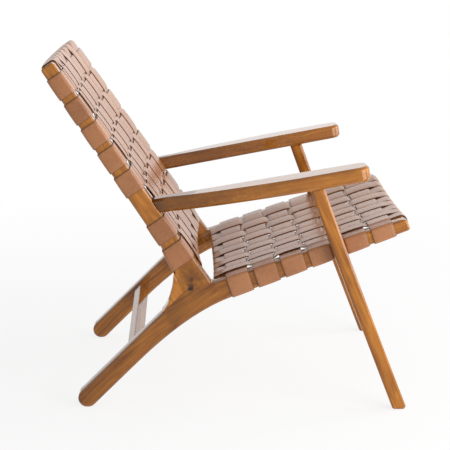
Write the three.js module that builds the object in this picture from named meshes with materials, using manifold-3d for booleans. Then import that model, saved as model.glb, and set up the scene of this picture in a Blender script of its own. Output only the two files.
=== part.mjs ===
// Low lounge chair: a solid wood frame with a seat and a back woven from flat leather straps.
// Millimetres, +Z up. The chair faces +X, its own left side is +Y, and it stands on z = 0.
// Side outlines are drawn in the X-Z plane, measured from where the rear foot meets the floor.
import * as THREE from 'three';
import { mergeVertices } from 'three/addons/utils/BufferGeometryUtils.js';
import Module from 'manifold-3d';

const wasm = await Module();
wasm.setup();

const degree = Math.PI / 180;

// Fits and small shared sizes
const fitGap = 0.3;            // between pieces that touch
const edgeChamfer = 4;         // eased long edges of the wood
const chamferRunOut = 6;       // length in which an eased edge ends at a flush joint
const overrun = 2;             // how far a cutting solid runs past the piece it cuts
const soleFlat = 0.5;          // depth of the flat worn on the round rear foot

// Frame width
const frameWidth = 536;        // over the outer faces of the two side frames
const sideThickness = 36;      // of rear legs, side rails and stiles, across the chair

// Rear leg and side rail, one bent piece
const legWidth = 39.5;
const legStraight = 135;       // along the leg's underside, from the foot to the bend
const heelReach = 262.6;       // the stile's front foot, forward of the rear foot
const heelHeight = 269.5;
const heelSink = 27.85;        // from the leg's upper side, drawn on, square down to the heel
const seamRun = 4.2;           // how far the stile's foot lies along the leg
const seamReach = 20;          // how far past that the seam starts to turn to the heel
const railAngle = 18.7 * degree;
const railReach = 138.7;       // from the front leg to the front of the rail, along its top
const railHeelDepth = 43;
const railNoseDepth = 25.6;
const railBendEnd = 30;        // where the underside's bend ends, along the rail from the heel
const noseTopRadius = 10;
const noseLowRadius = 6;

// Back stile
const stileAngle = 55.15 * degree;
const stileLength = 561.5;     // from the heel to the top end, along its front
const stileTopDepth = 29;
const stileLowDepth = 41.5;
const flareLength = 125.5;     // of the stretch above the heel where the rear edge flares
const flareAngle = 7 * degree;
const stileTopRadius = 6;

// Corner block behind the stile's foot
const blockPassage = 2.3;      // between its top and the lowest back strap, along the stile
const blockRun = 63;
const blockToe = 1.5;
const blockRiseShare = 0.03;   // of its sides, to the point that its hollow bends towards
const blockRunShare = 0.5;

// Front leg
const soleReach = 659.8;       // middle of its sole, forward of the rear foot
const frontLegLowAngle = 68.3 * degree;
const frontLegTopAngle = 70.2 * degree;
const frontLegWidth = 28;
const frontLegThickness = 30;
const frontLegBendHeight = 300;
const soleRadius = 4.5;

// Armrest
const armAngle = 10.05 * degree;
const armJointRise = 182.5;    // along the stile's front, from the heel to the arm's underside
const armLength = 434;
const armThickness = 30.5;
const armChamfer = 5;
const armOverhang = 20.7;      // of the outer edge past the front leg
const armTipWidth = 62;
const armTipRadius = 22;
const flareStartShare = 0.046; // of the arm's length, to where its outer edge flares
const flareTurnShare = 0.219;
const flareEndShare = 0.668;
const flareReachShare = 2 / 3; // of the flare, at its turn
const armTail = 40;            // rear overlength that the stile's front face trims

// Cross rails and stretcher
const tenonLength = 14;
const tenonShare = 0.6;        // of the rail's section
const rearRailStart = 6;       // rear face of the seat's rear rail, along the side rail
const rearRailWidth = 28;
const rearRailDepth = 28;
const frontRailWidth = 33;
const topRailWidth = 25;
const footRailRise = 35.5;     // of the back's bottom rail over the heel, along the stile
const footRailWidth = 28;
const footRailDepth = 26;
const crossRailRadius = 4;
const stretcherWidth = 20;     // along the leg
const stretcherDepth = 28;     // across the leg
const stretcherStart = 133;    // its lower face, along the leg from the foot
const stretcherInset = 5;      // below the leg's upper side
const stretcherChamfer = 2;

// Leather straps
const strapWidth = 48;
const strapThickness = 2.2;
const strapTail = 22;          // length turned under a rail
const rampInset = 0.5;         // how far from a crossing strap's edge a strap starts to bend
const warpGap = 3;             // least gap between the straps that run along a panel
const seatDish = 11.5;
const backTopBow = 13;
const backLowBow = 9;
const seatFirstWeft = 55.6;    // middle of the rearmost seat strap, along the rail
const seatWeftGap = 9;         // least gap between the straps behind the front leg
const noseGapShare = 0.309;    // of the free room past the front leg, behind the front strap
const legPassage = 0.6;        // between the front leg and the straps beside it
const backFirstWeft = 50.2;    // middle of the top back strap, along the stile
const backWeftGap = 12;
const armPassage = 2;          // between the arm and the nearest strap that passes round the stile
const sideRampRun = 9;         // length on the side rail in which a strap climbs

// Dowels and bolts
const dowelRadius = 5;
const stileDowelHalf = 24;
const stileDowelShares = [0.32, 0.68];   // of the stile's foot, from its rear end
const armDowelInStile = 20;
const armDowelInArm = 28;
const legDowelInLeg = 26;
const legDowelInArm = 17;
const boltRadius = 4;
const boltHeadRadius = 7;
const boltHeadHeight = 4.5;
const boltInLeg = 18;

// Colours
const honeyWood = 0xb1743a;
const darkWood = 0x945f2d;
const tanLeather = 0xa56e55;
const zincSteel = 0xb9bcc0;

// Step counts
const bendSteps = 9;
const cornerSteps = 3;
const tipSteps = 6;
const footSteps = 9;
const pinSides = 10;
const straightTurn = 0.2;      // sine of a turn under which two edges run straight on

const halfWidth = frameWidth / 2;
const innerHalf = halfWidth - sideThickness;
const armReach = halfWidth + fitGap + frontLegThickness + armOverhang;

const chair = new THREE.Group();

// Plane geometry in X-Z

const at = (x, z) => new THREE.Vector2(x, z);
const heading = (angle) => at(Math.cos(angle), Math.sin(angle));
const along = (start, direction, distance) => start.clone().addScaledVector(direction, distance);
const turnedLeft = (direction) => at(-direction.y, direction.x);

function crossing(startA, directionA, startB, directionB) {
  const gap = startB.clone().sub(startA);
  return along(startA, directionA, gap.cross(directionB) / directionA.cross(directionB));
}

function arcPoints(centre, radius, from, to, steps) {
  return Array.from({ length: steps + 1 }, (_, i) =>
    along(centre, heading(from + (to - from) * i / steps), radius));
}

function bendPoints(start, control, end, steps = bendSteps) {
  return new THREE.QuadraticBezierCurve(start, control, end).getPoints(steps);
}

// Points of the arc that rounds a corner between its two neighbours.
function roundedCorner(before, corner, after, radius, steps = cornerSteps) {
  const back = before.clone().sub(corner).normalize();
  const ahead = after.clone().sub(corner).normalize();
  const half = Math.acos(back.dot(ahead)) / 2;
  const centre = along(corner, back.clone().add(ahead).normalize(), radius / Math.sin(half));
  const from = along(corner, back, radius / Math.tan(half)).sub(centre).angle();
  const turn = (Math.PI - 2 * half) * Math.sign(ahead.cross(back));
  return arcPoints(centre, radius, from, from + turn, steps);
}

function roundedOutline(corners) {
  const count = corners.length;
  return corners.flatMap(({ point, radius }, i) => {
    const before = corners[(i + count - 1) % count].point;
    const after = corners[(i + 1) % count].point;
    return roundedCorner(before, point, after, radius);
  });
}

function mitre(before, point, after, distance) {
  const first = turnedLeft((before ? point.clone().sub(before) : after.clone().sub(point)).normalize());
  const second = turnedLeft((after ? after.clone().sub(point) : point.clone().sub(before)).normalize());
  const middle = first.clone().add(second).normalize();
  return along(point, middle, distance / middle.dot(first));
}

// The line at a distance to the left of a path, mitred at each bend.
function offsetPath(path, distance) {
  return path.map((point, i) => mitre(path[i - 1], point, path[i + 1], distance));
}

// A closed outline moved in to its left. Edges that join two of the `flush` points stay put.
function easedOutline(outline, distance, flush) {
  const count = outline.length;
  const insets = outline.map((point, i) =>
    (flush.includes(point) && flush.includes(outline[(i + 1) % count]) ? 0 : distance));
  return outline.map((point, i) => {
    const last = (i + count - 1) % count;
    const [before, after] = [outline[last], outline[(i + 1) % count]];
    const left = turnedLeft(point.clone().sub(before).normalize());
    const nextLeft = turnedLeft(after.clone().sub(point).normalize());
    const turn = left.cross(nextLeft);
    if (insets[last] === insets[i] || Math.abs(turn) < straightTurn) {
      return mitre(before, point, after, Math.max(insets[last], insets[i]));
    }
    const moved = along(point, turnedLeft(left), insets[i] / turn);
    return along(moved, turnedLeft(nextLeft), -insets[last] / turn);
  });
}

// Solids

function signedVolume(position, index) {
  const [a, b, c] = [new THREE.Vector3(), new THREE.Vector3(), new THREE.Vector3()];
  let volume = 0;
  for (let i = 0; i < index.length; i += 3) {
    a.fromBufferAttribute(position, index[i]);
    b.fromBufferAttribute(position, index[i + 1]);
    c.fromBufferAttribute(position, index[i + 2]);
    volume += a.dot(b.cross(c));
  }
  return volume;
}

// A closed skin through rings of equal point counts. `ends` holds the triangles of a flat end.
function loft(rings, ends) {
  const sides = rings[0].length;
  const index = [];
  for (let ring = 1; ring < rings.length; ring += 1) {
    for (let side = 0; side < sides; side += 1) {
      const next = (side + 1) % sides;
      const [a, b] = [(ring - 1) * sides + side, (ring - 1) * sides + next];
      index.push(a, b, a + sides, b, b + sides, a + sides);
    }
  }
  const last = (rings.length - 1) * sides;
  ends.forEach(([a, b, c]) => index.push(a, c, b, last + a, last + b, last + c));
  const geometry = new THREE.BufferGeometry().setFromPoints(rings.flat());
  if (signedVolume(geometry.attributes.position, index) < 0) index.reverse();
  geometry.setIndex(index);
  return geometry;
}

const fan = (sides) => Array.from({ length: sides - 2 }, (_, i) => [0, i + 1, i + 2]);

// A plate with its long edges eased, but not between `flush` points, where it meets another
// piece. `lift` turns a point of the outline and a level into space.
function plate(points, low, high, chamfer, lift, flush = []) {
  const outline = THREE.ShapeUtils.isClockWise(points) ? points.slice().reverse() : points;
  const eased = easedOutline(outline, chamfer, flush);
  const levels = chamfer > 0
    ? [[eased, low], [outline, low + chamfer], [outline, high - chamfer], [eased, high]]
    : [[outline, low], [outline, high]];
  const rings = levels.map(([ring, level]) => ring.map((point) => lift(point, level)));
  return loft(rings, THREE.ShapeUtils.triangulateShape(eased.slice(), []));
}

// A plate of the right-hand side, between two distances off the middle of the chair.
function sidePlate(points, inner, outer, chamfer = 0, flush = []) {
  const lift = ({ x, y }, level) => new THREE.Vector3(x, -level, y);
  return plate(points, inner, outer, chamfer, lift, flush);
}

function toManifold(geometry) {
  const bare = geometry.clone();
  bare.deleteAttribute('normal');
  bare.deleteAttribute('uv');
  const merged = mergeVertices(bare);
  return new wasm.Manifold(new wasm.Mesh({
    numProp: 3,
    vertProperties: new Float32Array(merged.attributes.position.array),
    triVerts: new Uint32Array(merged.index.array),
  }));
}

function fromManifold(solid) {
  const mesh = solid.getMesh();
  const geometry = new THREE.BufferGeometry();
  geometry.setAttribute('position', new THREE.BufferAttribute(new Float32Array(mesh.vertProperties), 3));
  geometry.setIndex(new THREE.BufferAttribute(new Uint32Array(mesh.triVerts), 1));
  return geometry;
}

function cut(geometry, tools) {
  return fromManifold(tools.reduce((solid, tool) => solid.subtract(toManifold(tool)), toManifold(geometry)));
}

function mirrored(geometry) {
  const copy = (geometry.index ? geometry.clone() : mergeVertices(geometry)).scale(1, -1, 1);
  const index = Array.from(copy.index.array).reverse();
  copy.setIndex(index);
  return copy;
}

// A round pin between two points.
function pin(start, end, radius) {
  const axis = end.clone().sub(start);
  const geometry = new THREE.CylinderGeometry(radius, radius, axis.length(), pinSides);
  const turn = new THREE.Quaternion()
    .setFromUnitVectors(new THREE.Vector3(0, 1, 0), axis.clone().normalize());
  return geometry.applyQuaternion(turn).translate(...start.clone().addScaledVector(axis, 1 / 2).toArray());
}

function place(name, geometry, colour, roughness, metalness = 0) {
  geometry.deleteAttribute('uv');
  const material = new THREE.MeshStandardMaterial({ color: colour, roughness, metalness });
  const mesh = new THREE.Mesh(geometry, material);
  mesh.name = name;
  chair.add(mesh);
}

function placePair(name, geometry, colour, roughness, metalness) {
  place(`${name}_left`, mirrored(geometry), colour, roughness, metalness);
  place(`${name}_right`, geometry, colour, roughness, metalness);
}

const placeWood = (name, geometry, colour = honeyWood) => place(name, geometry, colour, 0.4);
const placeWoodPair = (name, geometry, colour = honeyWood) => placePair(name, geometry, colour, 0.4);

// Lines of the side frame

const heel = at(heelReach, heelHeight);
const footCentre = at(0, legWidth / 2 - soleFlat);
const footToHeel = heel.clone().sub(footCentre);
const legAngle = footToHeel.angle() + Math.asin((heelSink - legWidth / 2) / footToHeel.length());
const legLine = heading(legAngle);
const legUp = turnedLeft(legLine);
const legTopStart = along(footCentre, legUp, legWidth / 2);
const legLowStart = along(footCentre, legUp, -legWidth / 2);

const stileDown = heading(-stileAngle);
const stileFront = turnedLeft(stileDown);
const stileTop = along(heel, stileDown, -stileLength);
const stilePoint = (distance, height) => along(along(stileTop, stileDown, distance), stileFront, height);
const flareStart = stileLength - flareLength;
const stileTaper = (stileLowDepth - stileTopDepth) / flareStart;
const flareTaper = Math.tan(Math.atan(stileTaper) + flareAngle);
const stileDepth = (distance) =>
  stileTopDepth + stileTaper * distance
  + (flareTaper - stileTaper) * Math.max(0, distance - flareStart);
const flarePoint = stilePoint(flareStart, -stileLowDepth);
const flareLine = heading(-stileAngle - Math.atan(flareTaper));
const flareFoot = crossing(flarePoint, flareLine, legTopStart, legLine);
const footRailEnd = stileLength - footRailRise;

const seamStart = along(flareFoot, legLine, seamRun);
const seam = bendPoints(seamStart, along(seamStart, legLine, seamReach), heel);

const armLine = heading(armAngle);
const armUp = turnedLeft(armLine);
const armJoint = along(heel, stileDown, -armJointRise);

const frontLegSole = at(soleReach, 0);
const frontLegUp = heading(Math.PI - frontLegLowAngle);
const frontLegTopUp = heading(Math.PI - frontLegTopAngle);
const frontLegBend = along(frontLegSole, frontLegUp, frontLegBendHeight / Math.sin(frontLegLowAngle));
const frontLegTop = crossing(frontLegBend, frontLegTopUp, armJoint, armLine);

// One side of the front leg, from its sole to the arm.
function frontLegSide(offset) {
  const low = along(frontLegSole, turnedLeft(frontLegUp), offset);
  const top = along(frontLegTop, turnedLeft(frontLegTopUp), offset);
  return bendPoints(
    crossing(low, frontLegUp, at(0, 0), at(1, 0)),
    along(frontLegBend, turnedLeft(frontLegUp), offset),
    crossing(top, frontLegTopUp, along(armJoint, armUp, -fitGap), armLine));
}

const railLine = heading(railAngle);
const railUp = turnedLeft(railLine);
const railPoint = (distance, height) => along(along(heel, railLine, distance), railUp, height);

// Where a side of the front leg crosses the straps' face and the side rail's lower side.
function legOnRail(offset) {
  const side = frontLegSide(offset);
  return [strapThickness, -railHeelDepth].map((level) => {
    const isAbove = (point) => point.clone().sub(heel).dot(railUp) > level;
    const next = side.findIndex(isAbove);
    const step = side[next].clone().sub(side[next - 1]);
    return crossing(side[next], step, railPoint(0, level), railLine).sub(heel).dot(railLine);
  });
}
const legRear = Math.min(...legOnRail(frontLegWidth / 2));
const legFront = Math.max(...legOnRail(-frontLegWidth / 2));
const railLength = legFront + railReach;
const railDepth = (distance) =>
  railHeelDepth + (railNoseDepth - railHeelDepth) * distance / railLength;

// Cross rail sections. Each lies in a panel's own plane: along the panel, and up from the wood.

const seat = {
  point: railPoint,
  sideDepth: railDepth,
  bow: () => seatDish,
};
const back = {
  point: stilePoint,
  sideDepth: stileDepth,
  bow: (distance) => backTopBow + (backLowBow - backTopBow) * distance / footRailEnd,
};

// `face` is the rail's outer face along the panel, and `sense` points from there into the panel.
const seatRearRail = {
  panel: seat, face: rearRailStart, sense: 1, width: rearRailWidth,
  depth: () => rearRailDepth, topRadius: crossRailRadius, lowRadius: crossRailRadius,
};
const seatFrontRail = {
  panel: seat, face: railLength, sense: -1, width: frontRailWidth,
  depth: railDepth, topRadius: noseTopRadius, lowRadius: noseLowRadius,
};
const backTopRail = {
  panel: back, face: 0, sense: 1, width: topRailWidth,
  depth: stileDepth, topRadius: stileTopRadius, lowRadius: stileTopRadius,
};
const backBottomRail = {
  panel: back, face: footRailEnd, sense: -1, width: footRailWidth,
  depth: () => footRailDepth, topRadius: crossRailRadius, lowRadius: crossRailRadius,
};

const sag = (panel, distance, across) =>
  -panel.bow(distance) * Math.max(0, 1 - (across / innerHalf) ** 2);

function panelPoint(panel, distance, across, height) {
  const spot = panel.point(distance, height + sag(panel, distance, across));
  return new THREE.Vector3(spot.x, across, spot.y);
}

function railSection({ face, sense, width, depth, topRadius, lowRadius }) {
  const inside = face + sense * width;
  return roundedOutline([
    { point: at(face, 0), radius: topRadius },
    { point: at(inside, 0), radius: edgeChamfer / 2 },
    { point: at(inside, -depth(inside)), radius: edgeChamfer / 2 },
    { point: at(face, -depth(face)), radius: lowRadius },
  ]);
}

function sectionCentre(section) {
  return section.reduce((sum, point) => sum.add(point), at(0, 0)).divideScalar(section.length);
}

function tenonSection(section, allowance = 0) {
  const centre = sectionCentre(section);
  return section.map((point) => {
    const arm = point.clone().sub(centre);
    return along(centre, arm.clone().normalize(), arm.length() * tenonShare + allowance);
  });
}

// Strap places

const warpSpan = 2 * (innerHalf - fitGap - rampInset) - strapWidth;
const warpCount = 1 + Math.floor(warpSpan / (strapWidth + warpGap));
const warpPitch = warpSpan / (warpCount - 1);
const warpPlaces = Array.from({ length: warpCount }, (_, i) => (i - (warpCount - 1) / 2) * warpPitch);
const warpEdges = warpPlaces.flatMap((across) => [across - strapWidth / 2, across + strapWidth / 2]);
const layerLow = fitGap + strapThickness / 2;
const layerHigh = layerLow + fitGap + strapThickness;

// Evenly spread places of straps from a first to a last one, with a least gap between straps.
function spread(first, last, gap) {
  const steps = Math.max(1, Math.floor((last - first) / (strapWidth + gap)));
  return Array.from({ length: steps + 1 }, (_, i) => first + (last - first) * i / steps);
}

const beforeLeg = legRear - legPassage - strapWidth / 2;
const pastLeg = legFront + legPassage + strapWidth / 2;
const frontWeftRear = pastLeg + strapWidth / 2 + 2 * rampInset;
const frontRoom = railLength - noseTopRadius - strapWidth - frontWeftRear;
const frontWeft = frontWeftRear + frontRoom * noseGapShare + strapWidth / 2;
const seatWefts = [...spread(seatFirstWeft, beforeLeg, seatWeftGap), pastLeg, frontWeft];

const backWeftPitch = strapWidth + backWeftGap;
const backWeftCount = 1 + Math.floor((footRailEnd - strapWidth / 2 - backFirstWeft) / backWeftPitch);
const backWefts = Array.from({ length: backWeftCount }, (_, i) => backFirstWeft + backWeftPitch * i);

// Back straps level with the arms stop at the stiles, because the arms are joined there.
const armDepth = armThickness / Math.sin(stileAngle + armAngle);
const armMiddle = stileLength - armJointRise - armDepth / 2;
const isBesideArm = (weft) =>
  Math.abs(weft - armMiddle) < armDepth / 2 + strapWidth / 2 + armPassage;

// Corner block: its square corner, and where it ends on the stile and on the leg

const stileRear = (distance) => stilePoint(distance, -stileDepth(distance));
const blockTopAt = backWefts[backWeftCount - 1] + strapWidth / 2 + blockPassage;
const stileRunOut = [stileRear(blockTopAt), stileRear(blockTopAt + chamferRunOut)];
const blockRear = along(flarePoint, turnedLeft(flareLine), -fitGap);
const blockLow = along(legTopStart, legUp, fitGap);
const blockCorner = crossing(blockRear, flareLine, blockLow, legLine);
const blockToeLow = along(blockCorner, legLine, -blockRun);
const toeOnLeg = along(blockToeLow, legUp, -fitGap);
const legRunOut = [toeOnLeg, along(toeOnLeg, legLine, chamferRunOut)];

// Side frame pieces

function sideRailOutline() {
  const railLow = (distance) => railPoint(distance, -railDepth(distance));
  const nose = railPoint(railLength, 0);
  const noseLow = railLow(railLength);
  const bendStart = along(legLowStart, legLine, legStraight);
  const bendEnd = railLow(railBendEnd);
  const railLowLine = noseLow.clone().sub(bendEnd).normalize();
  const bendControl = crossing(bendStart, legLine, bendEnd, railLowLine);
  const flatHalfAngle = Math.acos(footCentre.y / (legWidth / 2));
  const down = 3 * Math.PI / 2;
  return [
    ...arcPoints(footCentre, legWidth / 2, down + flatHalfAngle, down + legAngle, cornerSteps),
    ...bendPoints(bendStart, bendControl, bendEnd),
    ...roundedCorner(bendEnd, noseLow, nose, noseLowRadius),
    ...roundedCorner(noseLow, nose, heel, noseTopRadius),
    ...seam.slice().reverse(),
    ...legRunOut.slice().reverse(),
    ...arcPoints(footCentre, legWidth / 2, Math.PI / 2 + legAngle, down - flatHalfAngle, footSteps),
  ];
}

const stileSeam = [
  along(flareFoot, flareLine, -fitGap),
  ...seam.slice(1).map((point) => along(point, stileDown, -fitGap)),
];

function stileOutline() {
  const rearTop = stilePoint(0, -stileTopDepth);
  return [
    ...stileSeam,
    ...roundedCorner(heel, stileTop, rearTop, stileTopRadius),
    ...roundedCorner(stileTop, rearTop, flarePoint, stileTopRadius),
    flarePoint,
    ...stileRunOut,
  ];
}

function blockOutline() {
  const top = crossing(blockRear, flareLine, stilePoint(blockTopAt, 0), stileFront);
  const toeTop = along(blockToeLow, legUp, blockToe);
  const rise = top.clone().sub(blockCorner);
  const run = blockToeLow.clone().sub(blockCorner);
  const control = along(along(blockCorner, rise, blockRiseShare), run, blockRunShare);
  return [blockCorner, ...bendPoints(top, control, toeTop), blockToeLow];
}

function frontLegOutline() {
  const rear = frontLegSide(frontLegWidth / 2);
  const front = frontLegSide(-frontLegWidth / 2);
  return [
    ...roundedCorner(rear[1], rear[0], front[0], soleRadius, 1),
    ...roundedCorner(rear[0], front[0], front[1], soleRadius, 1),
    ...front.slice(1),
    ...rear.slice(1).reverse(),
  ];
}

// The arm lies flat in its own plane: along the arm, and off the middle of the chair.
function armPlate() {
  const flarePlace = (lengthShare, reachShare) =>
    at(armLength * lengthShare, -halfWidth - (armReach - halfWidth) * reachShare);
  const flare = bendPoints(
    flarePlace(flareStartShare, 0), flarePlace(flareTurnShare, flareReachShare),
    flarePlace(flareEndShare, 1));
  const tipInner = at(armLength, armTipWidth - armReach);
  const tipOuter = at(armLength, -armReach);
  const tailInner = at(-armTail, -innerHalf - fitGap);
  const tailOuter = at(-armTail, -halfWidth);
  const points = [
    tailInner,
    tailOuter,
    ...flare,
    ...roundedCorner(flare[flare.length - 1], tipOuter, tipInner, armTipRadius, tipSteps),
    ...roundedCorner(tipOuter, tipInner, tailInner, armTipRadius, tipSteps),
  ];
  return plate(points, 0, armThickness, armChamfer, ({ x, y }, level) => {
    const spot = along(along(armJoint, armLine, x), armUp, level);
    return new THREE.Vector3(spot.x, y, spot.y);
  });
}

// The space behind the stile's front face, which trims the arm's rear end.
function stileSide() {
  const face = along(armJoint, stileFront, fitGap);
  const reach = armTail + armThickness;
  const upper = along(face, stileDown, -reach);
  const lower = along(face, stileDown, reach);
  const behind = (point) => along(point, stileFront, -reach);
  return sidePlate([upper, behind(upper), behind(lower), lower], innerHalf - overrun, armReach);
}

// Dowels and bolts

const inSideFrame = (spot, across) => new THREE.Vector3(spot.x, -across, spot.y);
const sideMiddle = (innerHalf + halfWidth) / 2;

function stileDowels() {
  return stileDowelShares.map((share) => {
    const spot = seamStart.clone().lerp(heel, share);
    return {
      start: inSideFrame(along(spot, stileDown, stileDowelHalf), sideMiddle),
      end: inSideFrame(along(spot, stileDown, -stileDowelHalf), sideMiddle),
    };
  });
}

function armRearDowel() {
  const spot = along(armJoint, stileDown, -armThickness / 2 / Math.sin(stileAngle + armAngle));
  return {
    start: inSideFrame(along(spot, armLine, -armDowelInStile), sideMiddle),
    end: inSideFrame(along(spot, armLine, armDowelInArm), sideMiddle),
  };
}

const frontLegMiddle = halfWidth + fitGap + frontLegThickness / 2;

function armFrontDowel() {
  return {
    start: inSideFrame(along(frontLegTop, frontLegTopUp, -legDowelInLeg), frontLegMiddle),
    end: inSideFrame(along(frontLegTop, frontLegTopUp, legDowelInArm), frontLegMiddle),
  };
}

const dowelPin = ({ start, end }) => pin(start, end, dowelRadius);

function dowelHole({ start, end }) {
  const axis = end.clone().sub(start).normalize();
  return pin(
    start.clone().addScaledVector(axis, -overrun), end.clone().addScaledVector(axis, overrun),
    dowelRadius + fitGap);
}

// The bolt holds the front leg to the side rail, from the rail's inner face.
function boltSpot() {
  const distance = (legRear + legFront) / 2;
  return railPoint(distance, -railDepth(distance) / 2);
}

function legBolt() {
  const headTop = -innerHalf + fitGap + boltHeadHeight;
  const seatFace = -innerHalf + fitGap;
  const tip = -halfWidth - boltInLeg;
  const profile = [
    at(0, headTop), at(boltHeadRadius, headTop), at(boltHeadRadius, seatFace),
    at(boltRadius, seatFace), at(boltRadius, tip), at(0, tip),
  ];
  return new THREE.LatheGeometry(profile.reverse(), pinSides).translate(boltSpot().x, 0, boltSpot().y);
}

function boltHole(inner, outer) {
  return pin(inSideFrame(boltSpot(), inner), inSideFrame(boltSpot(), outer), boltRadius + fitGap);
}

// Mortises in the side pieces

function mortise(rail) {
  const section = tenonSection(railSection(rail), fitGap);
  const points = section.map(({ x, y }) => rail.panel.point(x, y));
  return mortisePlate(points);
}

const mortisePlate = (points) => sidePlate(points, innerHalf - overrun, innerHalf + tenonLength + fitGap);

function stretcherSection() {
  const top = legWidth / 2 - stretcherInset;
  const corner = (distance, height) => at(stretcherStart + distance, top + height);
  return roundedOutline([
    { point: corner(0, 0), radius: stretcherChamfer },
    { point: corner(stretcherWidth, 0), radius: stretcherChamfer },
    { point: corner(stretcherWidth, -stretcherDepth), radius: stretcherChamfer },
    { point: corner(0, -stretcherDepth), radius: stretcherChamfer },
  ]);
}

const legPoint = ({ x, y }) => along(along(footCentre, legLine, x), legUp, y);

// Cross rails, lofted from side to side with a tenon at each end

function crossRail(rail) {
  const section = railSection(rail);
  const tenon = tenonSection(section);
  const ring = (points, across, level) => points.map(({ x, y }) => {
    const height = y + (level ? 0 : sag(rail.panel, x, across));
    const spot = rail.panel.point(x, height);
    return new THREE.Vector3(spot.x, across, spot.y);
  });
  const end = innerHalf - fitGap;
  const tip = innerHalf + tenonLength - fitGap;
  return loft([
    ring(tenon, -tip, true), ring(tenon, -end, true), ring(section, -end, true),
    ...warpEdges.slice(1, -1).map((across) => ring(section, across, false)),
    ring(section, end, true), ring(tenon, end, true), ring(tenon, tip, true),
  ], fan(section.length));
}

function rearStretcher() {
  const section = stretcherSection();
  const tenon = tenonSection(section);
  const ring = (points, across) => points.map((point) => {
    const spot = legPoint(point);
    return new THREE.Vector3(spot.x, across, spot.y);
  });
  const end = innerHalf - fitGap;
  const tip = innerHalf + tenonLength - fitGap;
  return loft([
    ring(tenon, -tip), ring(tenon, -end), ring(section, -end),
    ring(section, end), ring(tenon, end), ring(tenon, tip),
  ], fan(section.length));
}

// Straps

// The surface that a strap follows round a cross rail, from its tail to the panel's face.
function railSkin({ face, sense, width, depth, topRadius, lowRadius }) {
  const inside = face + sense * width;
  const tail = face + sense * (lowRadius + strapTail);
  const [lowInside, low] = [at(inside, -depth(inside)), at(face, -depth(face))];
  const [top, topInside] = [at(face, 0), at(inside, 0)];
  return [
    at(tail, -depth(tail)),
    ...roundedCorner(lowInside, low, top, lowRadius),
    ...roundedCorner(low, top, topInside, topRadius),
    topInside,
  ];
}

// The surface that a strap follows round a side piece, from its tail to the panel's face.
function sideSkin(depth, side) {
  const eased = halfWidth - edgeChamfer;
  const points = [
    at(eased - strapTail, -depth), at(eased, -depth), at(halfWidth, edgeChamfer - depth),
    at(halfWidth, -edgeChamfer), at(eased, 0), at(innerHalf, 0),
  ];
  return points.map(({ x, y }) => at(side * x, y));
}

// The middle line of a strap between two skins, by way of its crossings.
function strapPath(startSkin, crossings, endSkin) {
  return [
    ...offsetPath(startSkin, layerLow).slice(0, -1),
    ...crossings,
    ...offsetPath(endSkin.slice().reverse(), layerLow).slice(1),
  ];
}

const strapEnd = fan(4);
const strapFaces = (path) => [1, -1].map((side) => offsetPath(path, side * strapThickness / 2));

function warpStrap(panel, across, startRail, endRail, wefts, isOver) {
  const reach = strapWidth / 2 + rampInset;
  const crossings = wefts.flatMap((weft, i) => {
    const height = isOver(i) ? layerHigh : layerLow;
    return [at(weft - reach, height), at(weft + reach, height)];
  });
  const path = strapPath(railSkin(startRail), crossings, railSkin(endRail));
  const [upper, lower] = strapFaces(path);
  const edge = (points, i, side) =>
    panelPoint(panel, points[i].x, across + side * strapWidth / 2, points[i].y);
  return loft(path.map((_, i) => [
    edge(upper, i, -1), edge(upper, i, 1), edge(lower, i, 1), edge(lower, i, -1),
  ]), strapEnd);
}

function weftCrossings(isOver) {
  const reach = strapWidth / 2 + rampInset;
  return warpPlaces.flatMap((across, i) => {
    const height = isOver(i) ? layerHigh : layerLow;
    return [at(across - reach, height), at(across + reach, height)];
  });
}

function weftPath(panel, distance, isOver) {
  const depth = panel.sideDepth(distance);
  const climb = innerHalf + sideRampRun;
  const crossings = [at(-climb, layerLow), ...weftCrossings(isOver), at(climb, layerLow)];
  return strapPath(sideSkin(depth, -1), crossings, sideSkin(depth, 1));
}

// A strap level with the arms ends beside the stiles.
function shortWeftPath(isOver) {
  const path = weftCrossings(isOver);
  const end = innerHalf - fitGap;
  path[0].setX(-end);
  path[path.length - 1].setX(end);
  return path;
}

function weftStrap(panel, weft, isOver, isShort) {
  const edges = [-1, 1].map((side) => {
    const distance = weft + side * strapWidth / 2;
    const path = isShort ? shortWeftPath(isOver) : weftPath(panel, distance, isOver);
    const [upper, lower] = strapFaces(path);
    const toPoint = ({ x, y }) => panelPoint(panel, distance, x, y);
    return { upper: upper.map(toPoint), lower: lower.map(toPoint) };
  });
  const [near, far] = edges;
  return loft(near.upper.map((_, i) => [
    near.upper[i], far.upper[i], far.lower[i], near.lower[i],
  ]), strapEnd);
}

function placePanel(name, panel, startRail, endRail, wefts, warpIsOver, isShort = () => false) {
  const placeStrap = (kind, i, geometry) =>
    place(`${name}_${kind}_strap_${i + 1}`, geometry, tanLeather, 0.5);
  warpPlaces.forEach((across, i) => {
    placeStrap('warp', i, warpStrap(panel, across, startRail, endRail, wefts, (j) => warpIsOver(i, j)));
  });
  wefts.forEach((weft, j) => {
    placeStrap('weft', j, weftStrap(panel, weft, (i) => !warpIsOver(i, j), isShort(weft)));
  });
}

// The chair

const stretcherMortise = mortisePlate(tenonSection(stretcherSection(), fitGap).map(legPoint));

placeWoodPair('rear_leg_and_side_rail', cut(
  sidePlate(sideRailOutline(), innerHalf, halfWidth, edgeChamfer, [...seam, ...legRunOut]),
  [
    mortise(seatRearRail), mortise(seatFrontRail), stretcherMortise,
    ...stileDowels().map(dowelHole), boltHole(innerHalf - overrun, halfWidth + overrun),
  ]), darkWood);

placeWoodPair('back_stile', cut(
  sidePlate(stileOutline(), innerHalf, halfWidth, edgeChamfer, [...stileSeam, ...stileRunOut]),
  [
    mortise(backTopRail), mortise(backBottomRail),
    ...stileDowels().map(dowelHole), dowelHole(armRearDowel()),
  ]));

placeWoodPair('corner_block', sidePlate(blockOutline(), innerHalf, halfWidth));

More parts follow.
